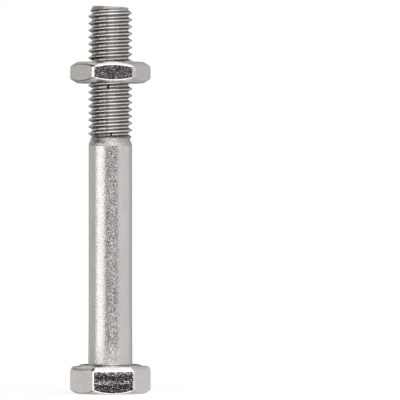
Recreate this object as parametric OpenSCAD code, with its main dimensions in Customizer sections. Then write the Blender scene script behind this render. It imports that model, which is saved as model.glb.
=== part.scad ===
// Partly threaded hex head screw, M8 x 65, with a thin hex nut run onto its thread.
// Millimetres. Z runs along the screw towards its tip, and z = 0 is the bearing face under the head.
// The head's flats face +Y and -Y, so its corners lie on +X and -X.

/* [Screw] */
// Length from the bearing face to the tip
screw_length = 65; // [45:1:90]
// Diameter of the plain shank
shank_d = 7.85; // [7.7:0.05:8]
// Radius of the fillet between the shank and the head
neck_fillet = 0.4; // [0.3:0.1:0.8]

/* [Head] */
// Distance across the head's flats
head_flats = 12.85; // [12.5:0.05:13.5]
// Height of the head with its bearing face
head_height = 5.2; // [4.5:0.1:6.5]
// Radius on the head's upright corners
head_corner = 0.65; // [0.4:0.05:1]
// Diameter of the flat left by the chamfer on the head's end
head_chamfer_d = 12.4; // [11.5:0.1:12.4]
// Diameter of the raised bearing face
bearing_d = 11.8; // [11:0.1:12]
// How far the bearing face stands above the hexagon
bearing_rise = 0.3; // [0.15:0.05:0.6]
// Radius of the rolled edge on the bearing side of the flats
rolled_edge_r = 0.8; // [0.8:0.05:1.2]
// How far down the flats the rolled edge reaches
rolled_edge_depth = 0.75; // [0.3:0.05:0.75]

/* [Thread] */
// Rise of the thread in one turn
pitch = 1.25; // [1:0.05:1.5]
// How far the thread's crests stand out past the plain shank
crest_rise = 0.05; // [0.02:0.01:0.1]
// Depth of the thread from crest to root
thread_depth = 0.72; // [0.6:0.02:0.8]
// Length of the thread at its full depth, counted from the tip
thread_length = 23.2; // [18:0.2:30]
// Length over which the thread fades out below its full depth
fade_length = 1.2; // [0.8:0.1:2]
// Length of the rounded shoulder between the faded thread and the shank
shoulder_length = 1; // [0.6:0.1:1.5]
// Diameter of the flat at the tip
tip_d = 6.3; // [5.8:0.1:6.6]
// Angle of the tip's chamfer from the screw's axis
tip_angle = 30; // [20:1:45]
// Where the crest passes +X, as a share of a pitch above the tip
crest_phase = 0.02; // [0:0.01:0.99]

/* [Nut] */
// Distance across the nut's flats
nut_flats = 12.85; // [12.5:0.05:13.5]
// Height of the nut
nut_height = 3.8; // [3:0.1:6]
// Radius on the nut's upright corners
nut_corner = 0.65; // [0.4:0.05:1]
// Diameter of the flat left by the chamfer on each face of the nut
nut_chamfer_d = 12; // [11:0.1:12.4]
// Distance from the tip back to the nut's near face
nut_from_tip = 10.15; // [2:0.05:16]
// Room between the two threads, measured outwards from the axis
thread_play = 0.15; // [0.12:0.01:0.2]
// How far the countersinks of the nut's hole open past the screw's crests
countersink_over = 0.325; // [0.225:0.05:0.525]

/* [Hidden] */
$fn = 96;

// Flats of the thread's ridge and groove, as shares of the pitch, for a 60 degree thread
crest_share = 1 / 8;
root_share = 1 / 4;
// Heights of one ridge's four edges, as shares of the pitch, from the middle of its crest
edge_shares = [-crest_share / 2, crest_share / 2, (1 - root_share) / 2, (1 + root_share) / 2];
edges_each = len(edge_shares);
turn_steps = 32;
end_gap = 0.03;
chamfer_slope = tan(30);
countersink_slope = tan(30);

shank_r = shank_d / 2;
crest_r = shank_r + crest_rise;
root_r = crest_r - thread_depth;
blank_r = crest_r - thread_depth / 2;
crest_z = screw_length + crest_phase * pitch;

// The rolled blank stands on a narrow ledge at the top of the shoulder and is let into it
ledge = 0.03;
blank_sunk = 0.2;
full_thread_z = screw_length - thread_length;
blank_z = full_thread_z - fade_length;
shoulder_z = blank_z - shoulder_length;

nut_z = screw_length - nut_from_tip - nut_height;
// How far the nut's cutter stands out of each face
cutter_over = 0.2;

function limited(x, low, high) = max(low, min(high, x));
function corner_radius(flats) = flats / 2 / cos(30);
function corner_point(flats, number) =
    corner_radius(flats) * [cos(60 * number), sin(60 * number)];

// Radius of an arc that leaves a wall along it and drops away by drop over length
function shoulder_arc(length, drop) = (length * length + drop * drop) / (2 * drop);

// Height of a ridge edge at one step round the turn. Edges are numbered upwards, four to a pitch.
function edge_z(edge, step) =
    let (ridge = floor(edge / edges_each))
    crest_z + pitch * (ridge + edge_shares[edge - edges_each * ridge] + step / turn_steps);

// Radius of the plain profile, in shares of a pitch above the middle of a crest
function profile_r(share, crest, root) = lookup(share - floor(share), [
    [0, crest],
    [edge_shares[1], crest],
    [edge_shares[2], root],
    [edge_shares[3], root],
    [1 + edge_shares[0], crest],
    [1, crest],
]);

// Screw thread: it fades to the blank below its full depth, and the tip's chamfer cuts it off
function screw_thread_r(z, r) =
    let (
        share = limited((z - blank_z) / fade_length, 0, 1),
        faded = blank_r - ledge + share * (r - blank_r + ledge),
        chamfer = tip_d / 2 + (screw_length - z) * tan(tip_angle)
    )
    min(faded, chamfer);

// Nut thread: a countersink opens it towards both faces
function nut_thread_r(z, r) =
    let (
        inside = min(z - nut_z, nut_z + nut_height - z),
        countersink = crest_r + countersink_over - max(inside, 0) / countersink_slope
    )
    max(r, countersink);

// Solid bounded by a right-hand thread between two heights. shape gives the radius at a height
// from the radius of the plain profile there.
module threaded_bar(low, high, crest, root, shape) {
    first_edge = edges_each * (floor((low - crest_z) / pitch) - 2);
    last_edge = edges_each * (ceil((high - crest_z) / pitch) + 1);
    edges = last_edge - first_edge + 1;
    // The lowest and highest edge inside the bar at each step
    spans = [
        for (step = [0 : turn_steps - 1])
            let (inside = [
                for (edge = [first_edge : last_edge])
                    if (edge_z(edge, step) > low + end_gap && edge_z(edge, step) < high - end_gap) edge
            ])
            [inside[0], inside[len(inside) - 1]]
    ];
    points = [
        for (step = [0 : turn_steps - 1], edge = [first_edge : last_edge])
            let (
                z = edge < spans[step][0] ? low : edge > spans[step][1] ? high : edge_z(edge, step),
                share = (z - crest_z) / pitch - step / turn_steps,
                r = shape(z, profile_r(share, crest, root)),
                angle = 360 * step / turn_steps
            )
            [r * cos(angle), r * sin(angle), z]
    ];
    // Number of a point. An edge past the bar's end gives the end's own point.
    function at(step, edge) = step < turn_steps
        ? step * edges - first_edge + limited(edge, spans[step][0] - 1, spans[step][1] + 1)
        : at(0, edge + edges_each);
    wall = [
        for (step = [0 : turn_steps - 1], edge = [first_edge : last_edge - 1])
            let (
                a = at(step, edge),
                b = at(step + 1, edge),
                c = at(step + 1, edge + 1),
                d = at(step, edge + 1)
            )
            each [[a, d, c], [a, c, b]]
    ];
    base = [for (step = [0 : turn_steps - 1]) at(step, first_edge)];
    top = [for (step = [turn_steps - 1 : -1 : 0]) at(step, last_edge)];
    closed_wall = [for (f = wall) if (f[0] != f[1] && f[1] != f[2] && f[2] != f[0]) f];
    polyhedron(points, concat(closed_wall, [base, top]), convexity = 10);
}

// Hexagon with a true arc at each corner
module rounded_hexagon(flats, corner) {
    reach = corner / tan(60) / corner_radius(flats);
    polygon([
        for (number = [0 : 5], side = [-1, 1])
            let (
                here = corner_point(flats, number),
                next = corner_point(flats, number + side)
            )
            here + reach * (next - here)
    ]);
    for (number = [0 : 5])
        rotate(60 * number)
            translate([corner_radius(flats) - corner / sin(60), 0])
                circle(corner);
}

// Upright section across a pair of the head's flats, with the bearing side's edges rolled over
module rolled_section() {
    half = head_flats / 2;
    top = -bearing_rise;
    knee = top - rolled_edge_depth;
    translate([-half, -head_height])
        square([head_flats, knee + head_height]);
    difference() {
        translate([-half, knee])
            square([head_flats, rolled_edge_depth]);
        for (side = [-1, 1])
            difference() {
                translate([side > 0 ? half - rolled_edge_r : -half, knee])
                    square([rolled_edge_r, rolled_edge_depth]);
                translate([side * (half - rolled_edge_r), knee])
                    circle(rolled_edge_r);
            }
    }
}

module head() {
    wide = corner_radius(head_flats) + 1;
    intersection() {
        translate([0, 0, -head_height])
            linear_extrude(head_height - bearing_rise)
                rounded_hexagon(head_flats, head_corner);
        rotate_extrude()
            polygon([
                [0, -head_height],
                [head_chamfer_d / 2, -head_height],
                [wide, -head_height + (wide - head_chamfer_d / 2) * chamfer_slope],
                [wide, 0],
                [0, 0],
            ]);
        intersection_for (turn = [0, 60, 120])
            rotate([90, 0, 90 + turn])
                linear_extrude(2 * wide, center = true)
                    rolled_section();
    }
    translate([0, 0, -bearing_rise])
        cylinder(h = bearing_rise, d = bearing_d);
}

module shank() {
    // The shank is let into the head, so that the two make one solid
    translate([0, 0, -bearing_rise])
        cylinder(h = shoulder_z + bearing_rise, r = shank_r);
    // Fillet under the head
    rotate_extrude()
        difference() {
            square([shank_r + neck_fillet, neck_fillet]);
            translate([shank_r + neck_fillet, neck_fillet])
                circle(neck_fillet);
        }
    // Rounded shoulder down to the blank that the thread is rolled on
    arc = shoulder_arc(shoulder_length, shank_r - blank_r);
    translate([0, 0, shoulder_z])
        rotate_extrude()
            intersection() {
                square([shank_r, shoulder_length]);
                translate([shank_r - arc, 0])
                    circle(arc);
            }
}

module hex_screw() {
    color([0.76, 0.75, 0.73]) {
        head();
        shank();
        threaded_bar(blank_z - blank_sunk, screw_length, crest_r, root_r,
            function(z, r) screw_thread_r(z, r));
    }
}

module thin_nut() {
    half = nut_height / 2;
    wide = corner_radius(nut_flats) + 1;
    color([0.72, 0.71, 0.69])
        difference() {
            intersection() {
                translate([0, 0, nut_z])
                    linear_extrude(nut_height)
                        rounded_hexagon(nut_flats, nut_corner);
                translate([0, 0, nut_z + half])
                    rotate_extrude()
                        polygon([
                            [0, -half],
                            [nut_chamfer_d / 2, -half],
                            [wide, -half + (wide - nut_chamfer_d / 2) * chamfer_slope],
                            [wide, half - (wide - nut_chamfer_d / 2) * chamfer_slope],
                            [nut_chamfer_d / 2, half],
                            [0, half],
                        ]);
            }
            threaded_bar(nut_z - cutter_over, nut_z + nut_height + cutter_over,
                crest_r + thread_play, root_r + thread_play, function(z, r) nut_thread_r(z, r));
        }
}

hex_screw();
thin_nut();
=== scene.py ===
"""Partly threaded hex head screw with a thin nut on its thread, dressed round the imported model.

Each of the two pieces is one closed mesh: a half section is spun round the screw's axis, its head or
nut rings are drawn out to the hexagon, and a helical strip makes the thread. Sections are written in
millimetres, as (radius, height) with height 0 at the bearing face under the head.
"""
import math

import bmesh
import bpy
from mathutils import Matrix, Vector


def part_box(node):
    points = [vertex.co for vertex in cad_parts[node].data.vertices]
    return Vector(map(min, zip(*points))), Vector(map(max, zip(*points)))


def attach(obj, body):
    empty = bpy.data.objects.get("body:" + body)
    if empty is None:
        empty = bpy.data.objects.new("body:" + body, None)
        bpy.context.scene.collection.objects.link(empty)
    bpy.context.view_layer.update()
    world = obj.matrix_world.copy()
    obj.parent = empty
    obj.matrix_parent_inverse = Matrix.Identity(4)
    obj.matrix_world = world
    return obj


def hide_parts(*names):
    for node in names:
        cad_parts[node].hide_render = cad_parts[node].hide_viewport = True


MM = 0.001
UPWARDS = (0, 0, 1)

# Columns of points round the axis, and how far they crowd towards the hexagon's corners, up to 1
COLUMNS = 120
COLUMN_DEGREES = 360 / COLUMNS
CORNER_CROWDING = 0.82
# Chamfers of head and nut
CHAMFER_SLOPE = math.tan(math.radians(30))
SHARP_ANGLE = math.radians(38)
# How much large faces count in the shading, from 1 to 100
FLAT_WEIGHT = 80
# Points nearer to each other than this are welded, on the spun sections and on the thread
WELD = 1e-4
THREAD_WELD = 1e-3

# Head. The rounding of a hexagon's edge is given as (at the middle of a flat, its change with the share
# by which the hexagon reaches further out)
HEAD_FLATS = 12.85
HEAD_CORNER = 0.65
HEAD_CHAMFER_R = 6.2
HEAD_END_ROUNDING = 0.07
HEAD_EDGE_ROUNDING = (0.1, 0.6)
ROLLED_EDGE_R = 1.2
ROLLED_EDGE_DEPTH = 0.98
ROLLED_EDGE_STEPS = 7
BEARING_R = 5.9
BEARING_RISE = 0.3
BEARING_RIM = 0.5
BEARING_ROUNDING = 0.06
# Rings of the screw nearer to the axis than this keep evenly spaced columns
ROUND_BELOW = 4.6

# Shank
SHANK_R = 3.925
NECK_FILLET = 0.22
# The shank swells a little towards the head, where it was forged
SWELL = 0.075
SWELL_END = 11
SWELL_POWER = 1.5
SWELL_HEIGHTS = (1, 2, 3.5, 5, 7, 9, SWELL_END)
SHOULDER_LOW = 39.6
SHOULDER_HIGH = 40.6
SHOULDER_STEPS = 6

# Thread, with the blank it is rolled on and the small ledge it starts from
PITCH = 1.25
CREST_R = 3.975
ROOT_R = 3.255
BLANK_R = 3.615
LEDGE = 0.03
FULL_THREAD = 41.8
TIP_R = 3.15
TIP_SLOPE = math.tan(math.radians(30))
# Height of a crest on +X
CREST_AT_X = 65.025
# The tip is cut a little out of square, lowest on +X, and its last bit leans with the cut
TIP_END = 0.7
TIP_LEAN = 0.05
# Pits in the thread's roots, as (degrees from +X, height)
PITS = [(-101.3, 50.3), (-92.8, 41.6)]
PIT_DEPTH = 0.5
PIT_REACH = 0.4

# Nut
NUT_FLATS = 13.0
NUT_CORNER = 1.25
NUT_CHAMFER_R = 6.0
NUT_CHAMFER_ROUNDING = 0.06
NUT_LOW_ROUNDING = (0.24, -0.3)
NUT_HIGH_ROUNDING = (0.48, -0.6)
COUNTERSINK_R = 4.3
COUNTERSINK_SLOPE = 1 / math.tan(math.radians(30))
THREAD_PLAY = 0.15

# A face's finish goes by the height or the radius of its middle, and by how far it faces up, to 1
FORGED_BELOW = 0.05
CRUMPLED_BELOW = SHOULDER_HIGH + 0.4
HOLE_WITHIN = COUNTERSINK_R - 0.02
FACING_UP = 0.95

# Finishes. Sizes, depths and heights are in millimetres. Tones are shares of a finish's level, as
# (where its noise is low, where it is high)
WARM_TINT = (1.04, 0.99, 0.955)
FORGED_TONES = (0.8, 1.18)
FORGED_BLOTCH = 0.7
# Painted shade in the crease where the head meets the shank: its tone, and the height over which it
# sets in
CREASE_SHADE_TONE = 0.4
CREASE_SHADE_EDGE = 0.06
# The dents lie in bands, which wander a little up and down along the flats
BAND_PITCH = 1.63
BAND_PHASE = -0.04
BAND_WANDER = 0.4
BAND_STRETCH = (0.3, 0.3, 0)
# Down over these heights, near the head's end, the dents lose a share of their depth
CALM_HEIGHTS = (-4.6, -4.0)
CALM_SHARE = 0.5
SHANK_TONES = (0.88, 1.12)
SHANK_CLOUD = 2.0
CLOUD_STRETCH = (1, 1, 0.4)
# The shank's skin is a crackle, at a share of its depth, over fine lines that run round it
SHANK_GRAIN = 0.18
CRACKLE_SHARE = 0.5
LINES_STRETCH = (0.6, 0.6, 1)
SHANK_RELIEF = 0.032
SPECK_SPAN = (0.4, 0.6)
# Painted shade in the crease at the shank's foot: its tone, and the heights over which it fades out
FOOT_SHADE_TONE = 0.2
FOOT_SHADE_HEIGHTS = (0.02, 0.13)
# Heights over which the shank's forged skin gives way to the drawn one
DRAWN_HEIGHTS = (0.5, 5)
SATIN_ROUGHNESS = 0.34
BRIGHT_ROUGHNESS = 0.2
FORGED_RELIEF = 1.7
CRUMPLED_TONES = (0.75, 1.2)
CRUMPLE_SIZE = 0.36
CRUMPLE_STRETCH = (0.8, 0.8, 1)
CRUMPLE_DEPTH = 0.2
# Tones of painted highlight on the thread's crests and roots, and of painted shade on its flanks
THREAD_HIGHLIGHT_AND_SHADE = (1.24, 0.38)
THREAD_ROUGHNESS = 0.16
THREAD_BLOTCH = 0.4
THREAD_BLOTCH_SHARE = 0.15
THREAD_RELIEF = 0.02
# Distances out from the root over which the flank's painted shade begins and ends
FLANK_BEGINS = (0.01, 0.1)
FLANK_ENDS = (0.56, 0.7)

# Camera, as the photograph was taken, in millimetres
CAMERA_AZIMUTH = math.radians(-6.5)
CAMERA_DISTANCE = 800
CAMERA_HEIGHT = 29.84
CAMERA_ASIDE = 16.26
CAMERA_LENS = 397
CAMERA_SENSOR = 36
CAMERA_CLIP = 10
TOWARDS_CAMERA = Vector((math.sin(CAMERA_AZIMUTH), -math.cos(CAMERA_AZIMUTH), 0))
CAMERA_RIGHT = Vector((math.cos(CAMERA_AZIMUTH), math.sin(CAMERA_AZIMUTH), 0))

# Floor: matt grey, with a share of a white glow for the camera. Its half width is in metres
FLOOR_HALF = 4
FLOOR_GREY = 0.93
FLOOR_GLOW = 1.15
FLOOR_GLOW_SHARE = 0.6

# Light round the object, as (degrees from the camera, level): a ring at eye level, two above it, one
# below it
WALL_LIGHT = [
    (-180, 0.1),
    (-164, 0.1),
    (-156, 0.66),
    (-81, 0.66),
    (-73, 1.92),
    (-58, 1.83),
    (-40, 1.64),
    (-34, 1.76),
    (-28, 0.62),
    (33, 0.62),
    (42, 0.9),
    (108, 0.9),
    (122, 0.7),
    (135, 0.7),
    (145, 0.48),
    (160, 0.4),
    (168, 0.25),
    (180, 0.25),
]
UPPER_LIGHT = [
    (-180, 0.5),
    (-145, 0.65),
    (-132, 0.55),
    (-118, 0.4),
    (-106, 0.1),
    (-52, 0.1),
    (-40, 1.1),
    (-20, 1.35),
    (-4, 2.9),
    (18, 2.9),
    (34, 2.0),
    (46, 1.9),
    (60, 1.2),
    (92, 0.7),
    (180, 0.5),
]
HIGH_LIGHT = [
    (-180, 0.6),
    (-145, 0.8),
    (-130, 0.6),
    (-118, 0.4),
    (-106, 0.12),
    (-52, 0.12),
    (-40, 0.9),
    (-20, 1.15),
    (40, 1.15),
    (60, 0.95),
    (92, 0.7),
    (180, 0.5),
]
LOWER_LIGHT = [
    (-180, 0.5),
    (-135, 0.5),
    (-120, 0.08),
    (-52, 0.1),
    (-40, 0.9),
    (-20, 1.1),
    (-4, 2.2),
    (18, 2.2),
    (34, 1.7),
    (46, 1.5),
    (62, 0.5),
    (180, 0.6),
]
# Levels straight above and straight below, beyond the rings
CEILING_LEVEL = 1.3
GROUND_LEVEL = 0.85
# Degrees above or below eye level over which each of them takes over
UPPER_SPAN = (9, 22)
HIGH_SPAN = (32, 44)
CEILING_SPAN = (62, 80)
LOWER_SPAN = (9, 24)
GROUND_SPAN = (48, 58)
# The light from the right is a little cooler than the light from the left
COOL_RIGHT = 0.02
# The lamp on the left is whiter than the walls: shares added to green and blue, which set in over
# these wall levels
LAMP_GREEN = 0.025
LAMP_BLUE = 0.055
LAMP_LEVELS = (1.0, 1.6)
# A wide, low dark card round the camera: where its middle is, and the degrees to its sides and up or
# down over which it ends
CARD_AZIMUTH = 7.4
CARD_LEVEL = 0.034
CARD_WIDTH = (32, 38)
CARD_HEIGHT = (5, 10)


class Value:
    """A shader socket that can stand in sums, so that shader maths reads as maths."""

    def __init__(self, nodes, socket):
        self.nodes = nodes
        self.socket = socket

    def __add__(self, other):
        return self.nodes.maths("ADD", self, other)

    def __radd__(self, other):
        return self.nodes.maths("ADD", other, self)

    def __sub__(self, other):
        return self.nodes.maths("SUBTRACT", self, other)

    def __rsub__(self, other):
        return self.nodes.maths("SUBTRACT", other, self)

    def __mul__(self, other):
        return self.nodes.maths("MULTIPLY", self, other)

    def __rmul__(self, other):
        return self.nodes.maths("MULTIPLY", other, self)

    def __truediv__(self, other):
        return self.nodes.maths("DIVIDE", self, other)


class Nodes:
    """The nodes of one material or of the world."""

    def __init__(self, tree):
        self.tree = tree
        tree.nodes.clear()

    def add(self, kind, settings=None, inputs=None, output=0):
        """Adds a node, with its settings first, and returns one of its outputs if it has any."""
        node = self.tree.nodes.new(kind)
        for name, setting in (settings or {}).items():
            if name == "stops":
                self.set_stops(node.color_ramp, setting)
            elif name == "interpolation":
                node.color_ramp.interpolation = setting
            else:
                setattr(node, name, setting)
        for name, given in (inputs or {}).items():
            if isinstance(given, Value):
                self.tree.links.new(given.socket, node.inputs[name])
            else:
                node.inputs[name].default_value = given
        return Value(self, node.outputs[output]) if node.outputs else None

    @staticmethod
    def set_stops(ramp, stops):
        """Gives a ramp its grey stops, as (position, level)."""
        while len(ramp.elements) < len(stops):
            ramp.elements.new(1)
        for element, (position, level) in zip(ramp.elements, stops):
            element.position = position
            element.color = (level, level, level, 1)

    def maths(self, operation, *values):
        return self.add("ShaderNodeMath", {"operation": operation}, dict(enumerate(values)))

    def vector(self, operation, *values, output=0):
        inputs = dict(enumerate(values))
        return self.add("ShaderNodeVectorMath", {"operation": operation}, inputs, output)

    def rise(self, value, low, high):
        """0 below low, 1 above high and a soft step between them."""
        settings = {"interpolation_type": "SMOOTHSTEP"}
        inputs = {"Value": value, "From Min": low, "From Max": high}
        return self.add("ShaderNodeMapRange", settings, inputs)

    def mix_colour(self, share, first, second):
        inputs = {"Factor": share, "A": first, "B": second}
        return self.add("ShaderNodeMix", {"data_type": "RGBA"}, inputs, output="Result")

    def noise(self, place, size, detail=2.0):
        """Noise from 0 to 1 with features about size across, in the units of place."""
        inputs = {"Vector": place, "Scale": 1 / size, "Detail": detail}
        return self.add("ShaderNodeTexNoise", None, inputs)

    def stretched(self, place, scale):
        """A place with each axis scaled by itself."""
        return self.vector("MULTIPLY", place, scale)

    def along(self, place, direction):
        """How far a place lies along a direction."""
        return self.vector("DOT_PRODUCT", place, direction, output="Value")


def blend(first, second, share):
    """first where share is 0 and second where it is 1."""
    return first * (1 - share) + second * share


def grey_warm(level):
    """Stainless steel's slightly warm grey."""
    return (*(level * share for share in WARM_TINT), 1)


def toned(nodes, share, level, tones):
    """Steel's colour, from the first tone where share is 0 to the second where it is 1."""
    return nodes.mix_colour(share, *(grey_warm(level * tone) for tone in tones))


def hexagon_reach(angle, flats, corner):
    """Radius of a hexagon with rounded corners at an angle. Its corners lie on +X and -X."""
    sixth = math.radians(60)
    off = abs((angle + sixth / 2) % sixth - sixth / 2)
    centre = flats / 2 / math.cos(sixth / 2) - corner / math.sin(sixth)
    arc_end = math.atan2(corner * math.sin(sixth / 2), centre + corner * math.cos(sixth / 2))
    if off < arc_end:
        return centre * math.cos(off) + math.sqrt(corner**2 - (centre * math.sin(off)) ** 2)
    return flats / 2 / math.cos(sixth / 2 - off)


def edge_rounding(rounding, reach, flats):
    """Rounding of a hexagon's edge where the hexagon reaches that far."""
    at_flat, change = rounding
    further = (reach - flats / 2) / (flats / 2)
    return at_flat + change * further


def rounded(path):
    """Points of a path of (r, z) and (r, z, reach, steps). The second kind of corner is an arc that
    starts and ends that far from it."""
    points = []
    for number, (r, z, *arc) in enumerate(path):
        here = Vector((r, z))
        if not arc:
            points.append(here)
            continue
        reach, steps = arc
        back = (Vector(path[number - 1][:2]) - here).normalized()
        ahead = (Vector(path[number + 1][:2]) - here).normalized()
        half = back.angle(ahead) / 2
        middle = here + (back + ahead).normalized() * reach / math.cos(half)
        start = here + back * reach - middle
        turn = start.angle_signed(here + ahead * reach - middle)
        for step in range(steps + 1):
            points.append(middle + Matrix.Rotation(-turn * step / steps, 2) @ start)
    return points


def head_section(reach, end):
    """Half section of the screw up to its thread, where the hexagon reaches that far."""
    flat_top = -BEARING_RISE
    knee = flat_top - ROLLED_EDGE_DEPTH
    roll_end = math.asin(ROLLED_EDGE_DEPTH / ROLLED_EDGE_R)
    roll = []
    for step in range(ROLLED_EDGE_STEPS + 1):
        turn = roll_end * step / ROLLED_EDGE_STEPS
        r = reach - ROLLED_EDGE_R * (1 - math.cos(turn))
        roll.append((r, knee + ROLLED_EDGE_R * math.sin(turn)))
    swell = [
        (SHANK_R + SWELL * (1 - height / SWELL_END) ** SWELL_POWER, height) for height in SWELL_HEIGHTS
    ]
    edge = edge_rounding(HEAD_EDGE_ROUNDING, reach, HEAD_FLATS)
    return rounded(
        [
            (0, end),
            (HEAD_CHAMFER_R / 2, end),
            (HEAD_CHAMFER_R, end, HEAD_END_ROUNDING, 3),
            (reach, end + (reach - HEAD_CHAMFER_R) * CHAMFER_SLOPE, edge, 5),
            *roll,
            (BEARING_R, flat_top),
            (BEARING_R - BEARING_RIM, 0, BEARING_ROUNDING, 3),
            (SHANK_R + SWELL, 0, NECK_FILLET, 6),
            *swell,
            (SHANK_R, SHOULDER_LOW / 2),
            *shoulder_points(),
        ]
    )


def shoulder_points():
    """Rounded shoulder from the shank down to the rolled blank, and the ledge the thread starts on."""
    length = SHOULDER_HIGH - SHOULDER_LOW
    drop = SHANK_R - BLANK_R
    radius = (length**2 + drop**2) / (2 * drop)
    points = []
    for step in range(SHOULDER_STEPS + 1):
        rise = length * step / SHOULDER_STEPS
        points.append((SHANK_R - radius + math.sqrt(radius**2 - rise**2), SHOULDER_LOW + rise))
    return [*points, (BLANK_R - LEDGE, SHOULDER_HIGH)]


def nut_section(reach, low, high):
    """Half section of the nut outside its hole, where the hexagon reaches that far."""
    drop = (reach - NUT_CHAMFER_R) * CHAMFER_SLOPE
    return rounded(
        [
            (COUNTERSINK_R, low),
            (NUT_CHAMFER_R, low, NUT_CHAMFER_ROUNDING, 2),
            (reach, low + drop, edge_rounding(NUT_LOW_ROUNDING, reach, NUT_FLATS), 7),
            (reach, high - drop, edge_rounding(NUT_HIGH_ROUNDING, reach, NUT_FLATS), 7),
            (NUT_CHAMFER_R, high, NUT_CHAMFER_ROUNDING, 2),
            (COUNTERSINK_R, high),
        ]
    )


def heights(node):
    """Lowest and highest point of a node, in millimetres."""
    low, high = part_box(node)
    return low.z / MM, high.z / MM


def nearest_column(co):
    """Number of the column that a point lies on, counted from +X."""
    return round(math.atan2(co.y, co.x) / math.tau * COLUMNS)


def spin_section(section, flats, corner, round_below):
    """Spins section(reach) round the axis and draws its rings out to the hexagon. Rings within
    round_below of the axis keep evenly spaced columns, and the others crowd them at the corners."""
    bm = bmesh.new()
    station = bm.verts.layers.int.new("station")
    verts = []
    for number, point in enumerate(section(flats / 2)):
        vert = bm.verts.new((point[0], 0, point[1]))
        vert[station] = number
        verts.append(vert)
    edges = [bm.edges.new(pair) for pair in zip(verts, verts[1:])]
    axis = {"cent": (0, 0, 0), "axis": UPWARDS, "dvec": (0, 0, 0)}
    bmesh.ops.spin(bm, geom=verts + edges, angle=math.tau, steps=COLUMNS, use_merge=True, **axis)
    sections = {}
    for vert in bm.verts:
        column = nearest_column(vert.co) % COLUMNS
        even = math.tau * column / COLUMNS
        crowded = even - CORNER_CROWDING * math.sin(6 * even) / 6
        if column not in sections:
            sections[column] = section(hexagon_reach(crowded, flats, corner))
        r = math.hypot(vert.co.x, vert.co.y)
        share = min(1, max(0, (r - round_below) / (flats / 2 - round_below)))
        angle = even + share * (crowded - even)
        r, z = sections[column][vert[station]]
        vert.co = (r * math.cos(angle), r * math.sin(angle), z)
    bmesh.ops.remove_doubles(bm, verts=bm.verts, dist=WELD)
    return bm


def thread_profile(crest, root):
    """One pitch of the thread as (share of a pitch above the crest, radius), crest to crest."""
    half = [
        (0, crest),
        (0.045, crest - 0.004),
        (0.0825, crest - 0.035),
        (0.22, (crest + root) / 2),
        (0.375, root + 0.09),
        (0.398, root + 0.053),
        (0.428, root + 0.024),
        (0.463, root + 0.006),
        (0.5, root),
    ]
    return half + [(1 - share, r) for share, r in reversed(half[:-1])]


def add_thread(bm, low, high, crest, root, shape, pits=()):
    """Adds a right-hand thread between two heights. Its points beyond them are drawn back to them, so
    that every column closes there on one point. shape gives the radius at a height from the plain
    profile's radius. pits are small holes, as (degrees from +X, height)."""
    lowest_turn = math.floor((low - CREST_AT_X) / PITCH) - 1
    turns = math.ceil((high - CREST_AT_X) / PITCH) + 1 - lowest_turn
    first = CREST_AT_X + lowest_turn * PITCH
    before = set(bm.verts)
    verts = [bm.verts.new((r, 0, first + PITCH * share)) for share, r in thread_profile(crest, root)]
    edges = [bm.edges.new(pair) for pair in zip(verts, verts[1:])]
    axis = {"cent": (0, 0, 0), "axis": UPWARDS, "dvec": (0, 0, PITCH / COLUMNS)}
    bmesh.ops.spin(bm, geom=verts + edges, angle=math.tau, steps=COLUMNS, **axis)
    one_turn = [vert for vert in bm.verts if vert not in before]
    faces = [face for face in bm.faces if face.verts[0] not in before]
    for turn in range(1, turns):
        made = bmesh.ops.duplicate(bm, geom=one_turn + faces)["geom"]
        copied = [item for item in made if isinstance(item, bmesh.types.BMVert)]
        bmesh.ops.translate(bm, verts=copied, vec=(0, 0, turn * PITCH))
    for vert in bm.verts:
        if vert in before:
            continue
        column = nearest_column(vert.co)
        degrees = column * COLUMN_DEGREES
        angle = math.tau * column / COLUMNS
        z = min(high, max(low, vert.co.z))
        r = shape(z, math.hypot(vert.co.x, vert.co.y))
        for pit_degrees, pit_z in pits:
            if abs(degrees - pit_degrees) < COLUMN_DEGREES / 2 and abs(z - pit_z) < PIT_REACH:
                r -= PIT_DEPTH * (1 - abs(z - pit_z) / PIT_REACH)
        vert.co = (r * math.cos(angle), r * math.sin(angle), z)
    bmesh.ops.remove_doubles(bm, verts=bm.verts, dist=THREAD_WELD)


def finish_mesh(bm, name, body, node, finishes, finish_of):
    """Turns a bmesh in millimetres into the piece that stands for a node."""
    loose = [edge for edge in bm.edges if not edge.link_faces]
    bmesh.ops.delete(bm, geom=loose, context="EDGES")
    bmesh.ops.recalc_face_normals(bm, faces=bm.faces)
    for face in bm.faces:
        face.smooth = True
        face.material_index = finish_of(face.calc_center_median(), face.normal)
    bmesh.ops.scale(bm, vec=(MM, MM, MM), verts=bm.verts)
    mesh = bpy.data.meshes.new(name)
    bm.to_mesh(mesh)
    bm.free()
    mesh.set_sharp_from_angle(angle=SHARP_ANGLE)
    for finish in finishes:
        mesh.materials.append(finish)
    piece = bpy.data.objects.new(name, mesh)
    bpy.context.scene.collection.objects.link(piece)
    weighted = piece.modifiers.new("flat faces stay flat", "WEIGHTED_NORMAL")
    weighted.keep_sharp = True
    weighted.weight = FLAT_WEIGHT
    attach(piece, body)
    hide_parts(node)


def steel_nodes(name):
    """A new material, its nodes, and the place on the piece in millimetres."""
    material = bpy.data.materials.new(name)
    material.use_nodes = True
    nodes = Nodes(material.node_tree)
    place = nodes.add("ShaderNodeTexCoord", output="Object")
    return material, nodes, nodes.stretched(place, (1 / MM, 1 / MM, 1 / MM))


def steel_surface(nodes, colour, roughness, relief, depth):
    """Finishes a steel material. A step of 1 in its relief is depth millimetres high."""
    inputs = {"Height": relief, "Strength": 1.0, "Distance": depth * MM}
    normal = nodes.add("ShaderNodeBump", None, inputs)
    inputs = {"Base Color": colour, "Metallic": 1.0, "Roughness": roughness, "Normal": normal}
    shader = nodes.add("ShaderNodeBsdfPrincipled", None, inputs)
    nodes.add("ShaderNodeOutputMaterial", None, {"Surface": shader})


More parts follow.
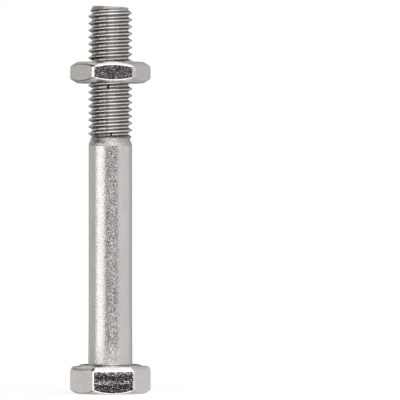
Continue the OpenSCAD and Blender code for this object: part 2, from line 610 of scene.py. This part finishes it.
def forged_flats(name, level, grain, depth, roughness, band_share, shaded_above=None):
    """Cold forged hexagon: satin, with a skin of fine dents that are deeper in bands along the flats.
    grain and depth are the dents' size, and between the bands they lose band_share of their depth.
    Painted shade darkens it above the height shaded_above, in the crease at the shank's foot."""
    material, nodes, place = steel_nodes(name)
    height = nodes.along(place, UPWARDS)
    fine = nodes.noise(place, grain, detail=0)
    wander = nodes.noise(nodes.stretched(place, BAND_STRETCH), 1.0, detail=1) * BAND_WANDER
    wave = nodes.maths("SINE", (height + wander) * (math.tau / BAND_PITCH) + BAND_PHASE)
    between = 0.5 - wave * 0.5
    calm = 1 - nodes.rise(height, *CALM_HEIGHTS)
    relief = (fine - 0.5) * (1 - between * band_share) * (1 - calm * CALM_SHARE)
    blotch = nodes.noise(place, FORGED_BLOTCH, detail=3)
    colour = toned(nodes, blotch, level, FORGED_TONES)
    # Painted shade: darker above shaded_above, in the crease where the head meets the shank
    if shaded_above is not None:
        crease_shade = nodes.rise(height, shaded_above, shaded_above + CREASE_SHADE_EDGE)
        colour = nodes.mix_colour(crease_shade, colour, grey_warm(level * CREASE_SHADE_TONE))
    steel_surface(nodes, colour, roughness, relief, depth)
    return material


def drawn_shank(name, level):
    """Drawn shank: satin, with a fine crackled skin, duller towards the forged head. Painted
    shade darkens the crease at its foot."""
    material, nodes, place = steel_nodes(name)
    height = nodes.along(place, UPWARDS)
    crackle = nodes.noise(place, SHANK_GRAIN, detail=0) - 0.5
    lines = nodes.noise(nodes.stretched(place, LINES_STRETCH), SHANK_GRAIN, detail=0) - 0.5
    speck = nodes.rise(nodes.noise(place, SHANK_GRAIN, detail=1), *SPECK_SPAN)
    cloud = nodes.noise(nodes.stretched(place, CLOUD_STRETCH), SHANK_CLOUD)
    colour = toned(nodes, cloud, level, SHANK_TONES)
    # Painted shade darkens the crease at the shank's foot
    foot = nodes.rise(height, *FOOT_SHADE_HEIGHTS)
    colour = nodes.mix_colour(foot, grey_warm(level * FOOT_SHADE_TONE), colour)
    drawn = nodes.rise(height, *DRAWN_HEIGHTS)
    speckled = blend(BRIGHT_ROUGHNESS, SATIN_ROUGHNESS, speck)
    roughness = blend(SATIN_ROUGHNESS, speckled, drawn)
    relief = (crackle * CRACKLE_SHARE + lines) * blend(FORGED_RELIEF, 1, drawn)
    steel_surface(nodes, colour, roughness, relief, SHANK_RELIEF)
    return material


def crumpled(name, level, roughness):
    """Rough, crumpled steel, as on the shoulder and the tip, the two ends of the rolling."""
    material, nodes, place = steel_nodes(name)
    crumple = nodes.noise(nodes.stretched(place, CRUMPLE_STRETCH), CRUMPLE_SIZE)
    colour = toned(nodes, crumple, level, CRUMPLED_TONES)
    steel_surface(nodes, colour, roughness, crumple, CRUMPLE_DEPTH)
    return material


def rolled_thread(name, level, root):
    """Rolled thread: painted highlight on crests and roots, painted shade on the flanks."""
    material, nodes, place = steel_nodes(name)
    radius = nodes.vector("LENGTH", nodes.stretched(place, (1, 1, 0)), output="Value")
    out_of_root = nodes.rise(radius, *(root + out for out in FLANK_BEGINS))
    near_crest = nodes.rise(radius, *(root + out for out in FLANK_ENDS))
    blotch = nodes.noise(place, THREAD_BLOTCH)
    # Painted highlight on the crests and roots and painted shade on the flanks, by distance from the
    # root
    share = blend(out_of_root * (1 - near_crest), blotch, THREAD_BLOTCH_SHARE)
    colour = toned(nodes, share, level, THREAD_HIGHLIGHT_AND_SHADE)
    steel_surface(nodes, colour, THREAD_ROUGHNESS, blotch, THREAD_RELIEF)
    return material


def light_ring(nodes, azimuth, stops):
    """Light level round the horizon, softly stepped between (degrees from the camera, level)."""
    brightest = max(level for _, level in stops)
    stops = [(degrees / 360 + 0.5, level / brightest) for degrees, level in stops]
    settings = {"interpolation": "EASE", "stops": stops}
    return nodes.add("ShaderNodeValToRGB", settings, {"Fac": azimuth / 360 + 0.5}) * brightest


def studio_world():
    """Soft studio light by direction. Azimuth runs from the camera, positive to its right. The camera
    itself sees plain white."""
    world = bpy.data.worlds.new("studio")
    world.use_nodes = True
    bpy.context.scene.world = world
    nodes = Nodes(world.node_tree)
    way = nodes.add("ShaderNodeTexCoord", output="Generated")
    across = nodes.along(way, tuple(CAMERA_RIGHT))
    towards = nodes.along(way, tuple(TOWARDS_CAMERA))
    up = nodes.along(way, UPWARDS)
    down = 0 - up
    azimuth = nodes.maths("ARCTAN2", across, towards) * math.degrees(1)

    def beyond(sine, span):
        """0 where a sine's angle is under a span of degrees and 1 where it is over it."""
        return nodes.rise(sine, *(math.sin(math.radians(degrees)) for degrees in span))

    walls = light_ring(nodes, azimuth, WALL_LIGHT)
    level = blend(walls, light_ring(nodes, azimuth, UPPER_LIGHT), beyond(up, UPPER_SPAN))
    level = blend(level, light_ring(nodes, azimuth, HIGH_LIGHT), beyond(up, HIGH_SPAN))
    level = blend(level, CEILING_LEVEL, beyond(up, CEILING_SPAN))
    level = blend(level, light_ring(nodes, azimuth, LOWER_LIGHT), beyond(down, LOWER_SPAN))
    level = blend(level, GROUND_LEVEL, beyond(down, GROUND_SPAN))
    beside = nodes.rise(nodes.maths("ABSOLUTE", azimuth - CARD_AZIMUTH), *CARD_WIDTH)
    over = beyond(nodes.maths("ABSOLUTE", up), CARD_HEIGHT)
    level = blend(level, CARD_LEVEL, (1 - beside) * (1 - over))
    lamp = nodes.rise(walls, *LAMP_LEVELS)
    green = level * (1 + lamp * LAMP_GREEN)
    blue = level * (1 + across * COOL_RIGHT + lamp * LAMP_BLUE)
    colour = nodes.add("ShaderNodeCombineColor", None, {"Red": level, "Green": green, "Blue": blue})
    seen = nodes.add("ShaderNodeLightPath", output="Is Camera Ray")
    colour = nodes.mix_colour(seen, colour, (1, 1, 1, 1))
    light = nodes.add("ShaderNodeBackground", None, {"Color": colour, "Strength": 1.0})
    nodes.add("ShaderNodeOutputWorld", None, {"Surface": light})


def pale_floor(height):
    """The floor the screw stands on. Lightened towards white for the camera, and it keeps a shadow."""
    bm = bmesh.new()
    bmesh.ops.create_grid(bm, x_segments=1, y_segments=1, size=FLOOR_HALF)
    bmesh.ops.translate(bm, verts=bm.verts, vec=(0, 0, height * MM))
    mesh = bpy.data.meshes.new("floor")
    bm.to_mesh(mesh)
    bm.free()
    floor = bpy.data.objects.new("floor", mesh)
    bpy.context.scene.collection.objects.link(floor)
    floor.visible_glossy = False
    material = bpy.data.materials.new("pale floor")
    material.use_nodes = True
    nodes = Nodes(material.node_tree)
    matt = nodes.add("ShaderNodeBsdfDiffuse", None, {"Color": (FLOOR_GREY, FLOOR_GREY, FLOOR_GREY, 1)})
    glow = nodes.add("ShaderNodeEmission", None, {"Color": (1, 1, 1, 1), "Strength": FLOOR_GLOW})
    seen = nodes.add("ShaderNodeLightPath", output="Is Camera Ray")
    inputs = {0: seen * FLOOR_GLOW_SHARE, 1: matt, 2: glow}
    surface = nodes.add("ShaderNodeMixShader", None, inputs)
    nodes.add("ShaderNodeOutputMaterial", None, {"Surface": surface})
    mesh.materials.append(material)


def camera():
    """The camera, level, and aimed to the right of the screw as the photograph was."""
    data = bpy.data.cameras.new("camera")
    data.lens = CAMERA_LENS
    data.sensor_width = CAMERA_SENSOR
    data.clip_start = CAMERA_CLIP * MM
    made = bpy.data.objects.new("camera", data)
    bpy.context.scene.collection.objects.link(made)
    aim = CAMERA_RIGHT * CAMERA_ASIDE + Vector((0, 0, CAMERA_HEIGHT))
    made.location = (aim + TOWARDS_CAMERA * CAMERA_DISTANCE) * MM
    made.rotation_euler = (-TOWARDS_CAMERA).to_track_quat("-Z", "Y").to_euler()
    bpy.context.scene.camera = made


def hex_screw():
    """The screw: head, shank, shoulder and thread as one closed mesh."""
    end, tip = heights("hex_screw")

    def shape(z, r):
        """The thread fades in from the ledge and ends in the tip's chamfer."""
        if z <= SHOULDER_HIGH:
            return BLANK_R - LEDGE
        share = min(1, (z - SHOULDER_HIGH) / (FULL_THREAD - SHOULDER_HIGH))
        faded = BLANK_R - LEDGE + share * (r - BLANK_R + LEDGE)
        return min(faded, TIP_R + (tip - z) * TIP_SLOPE)

    bm = spin_section(lambda reach: head_section(reach, end), HEAD_FLATS, HEAD_CORNER, ROUND_BELOW)
    add_thread(bm, SHOULDER_HIGH, tip, CREST_R, ROOT_R, shape, PITS)
    for vert in bm.verts:
        near_tip = max(0, vert.co.z - tip + TIP_END) / TIP_END
        vert.co.z -= near_tip * (TIP_R + vert.co.x) * TIP_LEAN
    rim = [edge for edge in bm.edges if edge.is_boundary]
    bmesh.ops.edgeloop_fill(bm, edges=rim)

    head, shank, shoulder, thread, cut, pit = range(6)
    finishes = [
        forged_flats(
            "forged head",
            level=0.76,
            grain=0.25,
            depth=0.047,
            roughness=0.085,
            band_share=0.54,
            # Painted shade in the crease at the shank's foot
            shaded_above=-0.12,
        ),
        drawn_shank("drawn shank", level=0.6),
        crumpled("rolled shoulder", level=0.52, roughness=0.27),
        rolled_thread("rolled thread", level=0.6, root=ROOT_R),
        crumpled("sheared tip", level=0.5, roughness=0.38),
        # The pits are painted dark, as painted shade in the holes
        crumpled("pits with painted shade", level=0.2, roughness=0.5),
    ]

    def finish_of(centre, normal):
        if centre.z < FORGED_BELOW:
            return head
        if centre.z < SHOULDER_LOW:
            return shank
        degrees = math.degrees(math.atan2(centre.y, centre.x))
        for pit_degrees, pit_z in PITS:
            if abs(degrees - pit_degrees) < COLUMN_DEGREES and abs(centre.z - pit_z) < PIT_REACH / 2:
                return pit
        if centre.z < CRUMPLED_BELOW:
            return shoulder
        return cut if centre.z > tip - TIP_END or normal.z > FACING_UP else thread

    finish_mesh(bm, "screw", "screw", "hex_screw", finishes, finish_of)


def thin_nut():
    """The nut: its hexagon and its threaded, countersunk hole as one closed mesh."""
    low, high = heights("thin_nut")

    def shape(z, r):
        """The thread runs out in the countersink of either face."""
        inside = min(z - low, high - z)
        return max(r, COUNTERSINK_R - inside * COUNTERSINK_SLOPE)

    bm = spin_section(lambda reach: nut_section(reach, low, high), NUT_FLATS, NUT_CORNER, COUNTERSINK_R)
    add_thread(bm, low, high, CREST_R + THREAD_PLAY, ROOT_R + THREAD_PLAY, shape)

    hexagon, hole = range(2)
    finishes = [
        forged_flats("forged nut", level=0.62, grain=0.21, depth=0.029, roughness=0.12, band_share=0.1),
        rolled_thread("nut thread", level=0.58, root=ROOT_R + THREAD_PLAY),
    ]

    def finish_of(centre, normal):
        return hole if math.hypot(centre.x, centre.y) < HOLE_WITHIN else hexagon

    finish_mesh(bm, "nut", "nut", "thin_nut", finishes, finish_of)


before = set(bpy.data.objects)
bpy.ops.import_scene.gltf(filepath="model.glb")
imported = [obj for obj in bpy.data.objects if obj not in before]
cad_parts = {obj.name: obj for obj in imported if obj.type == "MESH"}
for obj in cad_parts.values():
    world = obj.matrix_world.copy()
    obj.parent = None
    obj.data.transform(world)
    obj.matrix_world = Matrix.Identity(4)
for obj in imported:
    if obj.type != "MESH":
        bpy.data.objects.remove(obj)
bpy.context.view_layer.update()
hex_screw()
thin_nut()
studio_world()
pale_floor(heights("hex_screw")[0])
camera()
bpy.context.scene.view_settings.view_transform = "Standard"
